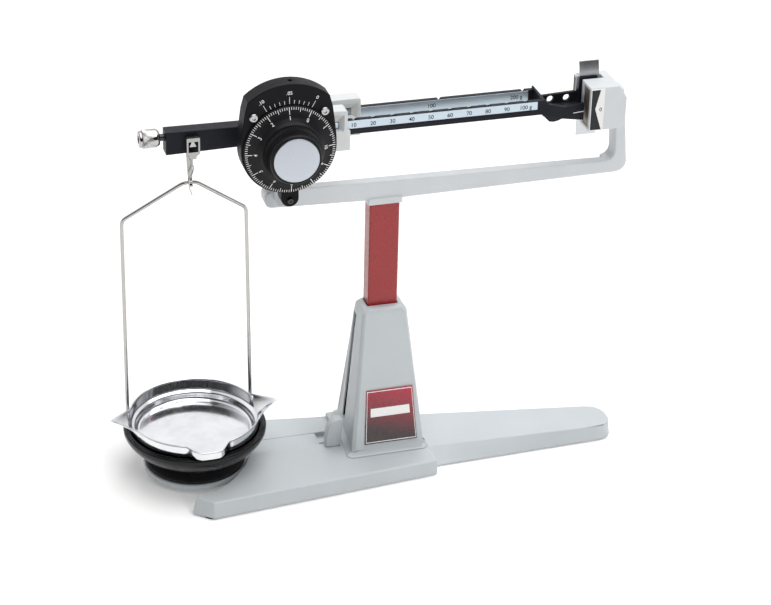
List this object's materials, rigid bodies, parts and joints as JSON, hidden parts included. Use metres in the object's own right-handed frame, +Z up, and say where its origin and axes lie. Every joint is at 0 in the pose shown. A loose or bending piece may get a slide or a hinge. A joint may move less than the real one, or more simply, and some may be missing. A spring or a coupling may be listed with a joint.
{
  "type": "beam balance",
  "caption": "Bench beam balance: notched beams with sliding poises, a front dial with vernier, a C-shaped frame on a column and tapered base, and a pan hung on a wire bow",
  "frame": {"origin": "centre of the bounding box, on the table the feet stand on", "axes": "+X along the beam from the pan to the damper, +Y from the dial to the back, +Z up"},
  "size_m": [0.4084, 0.1322, 0.3347],
  "materials": {
    "grey_enamel": "satin",
    "frame_enamel": "satin",
    "red_enamel": "gloss",
    "label_print": "gloss",
    "black_enamel": "satin",
    "black_anodised": "satin",
    "brushed_cap": "satin",
    "bright_steel": "gloss",
    "dark_steel": "satin",
    "spring_steel": "satin",
    "scale_print": "satin",
    "index_print": "gloss",
    "vane_aluminium": "satin",
    "magnet": "satin",
    "agate": "gloss",
    "bright_plating": "gloss",
    "stainless": "gloss",
    "rubber": "matte"
  },
  "bodies": {
    "stand": {"base_casting": "grey_enamel", "tower_casting": "grey_enamel", "label_plate": "label_print", "column_tube": "red_enamel", "column_clamp_screw": "bright_steel", "frame_casting": "frame_enamel", "bearing_front": "agate", "bearing_rear": "agate", "damper_magnet_front": "magnet", "damper_magnet_rear": "magnet", "index_plate": "index_print", "dial_housing": "black_enamel", "housing_screw_left": "bright_steel", "housing_screw_right": "bright_steel", "lug_screw": "dark_steel", "spiral_spring": "spring_steel", "rubber_foot_1": "rubber", "rubber_foot_2": "rubber", "rubber_foot_3": "rubber", "rubber_foot_4": "rubber"},
    "dial": {"dial_skirt": "black_anodised", "dial_knob": "black_anodised", "dial_cap": "brushed_cap", "dial_shaft": "bright_steel"},
    "beam": {"beam_casting": "black_enamel", "main_knife": "bright_steel", "pan_knife": "bright_steel", "front_scale": "scale_print", "rear_scale": "scale_print", "damper_vane": "vane_aluminium", "zero_stud": "dark_steel"},
    "zero_adjuster": {"zero_knob": "bright_steel"},
    "front_slider": {"front_poise": "frame_enamel"},
    "rear_slider": {"rear_poise": "frame_enamel"},
    "knife_stirrup": {"stirrup": "bright_plating"},
    "hook": {"hook_wire": "bright_steel", "hanger_link": "bright_plating"},
    "pan_hanger": {"bow_wire": "bright_steel", "pan_holder": "black_enamel"},
    "weighing_pan": {"pan": "stainless"},
    "arrest_platform": {"platform_disc": "grey_enamel", "platform_mat": "rubber", "arrest_lever": "grey_enamel"}
  },
  "joints": [
    {"name": "beam_tilt", "type": "hinge", "parent": "stand", "child": "beam", "pos_m": [-0.07195, 0.01065, 0.2845], "axis": [0, 1, 0], "range_deg": [-2.5, 2.5]},
    {"name": "dial_turn", "type": "hinge", "parent": "stand", "child": "dial", "pos_m": [-0.07195, -0.02935, 0.2845], "axis": [0, 1, 0], "range_deg": [0, 300]},
    {"name": "front_poise_slide", "type": "slide", "parent": "beam", "child": "front_slider", "axis": [1, 0, 0], "range_m": [0, 0.1488]},
    {"name": "rear_poise_slide", "type": "slide", "parent": "beam", "child": "rear_slider", "axis": [1, 0, 0], "range_m": [0, 0.1332]},
    {"name": "zero_knob_turn", "type": "hinge", "parent": "beam", "child": "zero_adjuster", "pos_m": [-0.16765, 0.01065, 0.2865], "axis": [1, 0, 0], "range_deg": [-720, 720]},
    {"name": "stirrup_swing", "type": "hinge", "parent": "beam", "child": "knife_stirrup", "pos_m": [-0.13715, 0.01065, 0.2866], "axis": [0, 1, 0], "range_deg": [-6, 6]},
    {"name": "hook_swing", "type": "hinge", "parent": "knife_stirrup", "child": "hook", "pos_m": [-0.13715, 0.01065, 0.2722], "axis": [1, 0, 0], "range_deg": [-6, 6]},
    {"name": "hanger_swing", "type": "hinge", "parent": "hook", "child": "pan_hanger", "pos_m": [-0.13775, 0.01065, 0.2466], "axis": [0, -1, 0], "range_deg": [-8, 8]},
    {"name": "pan_lift", "type": "slide", "parent": "pan_hanger", "child": "weighing_pan", "axis": [0, -0.1736, 0.9848], "range_m": [0, 0.04]},
    {"name": "platform_lift", "type": "slide", "parent": "stand", "child": "arrest_platform", "axis": [0.1126, 0, 0.9936], "range_m": [0, 0.008]}
  ]
}
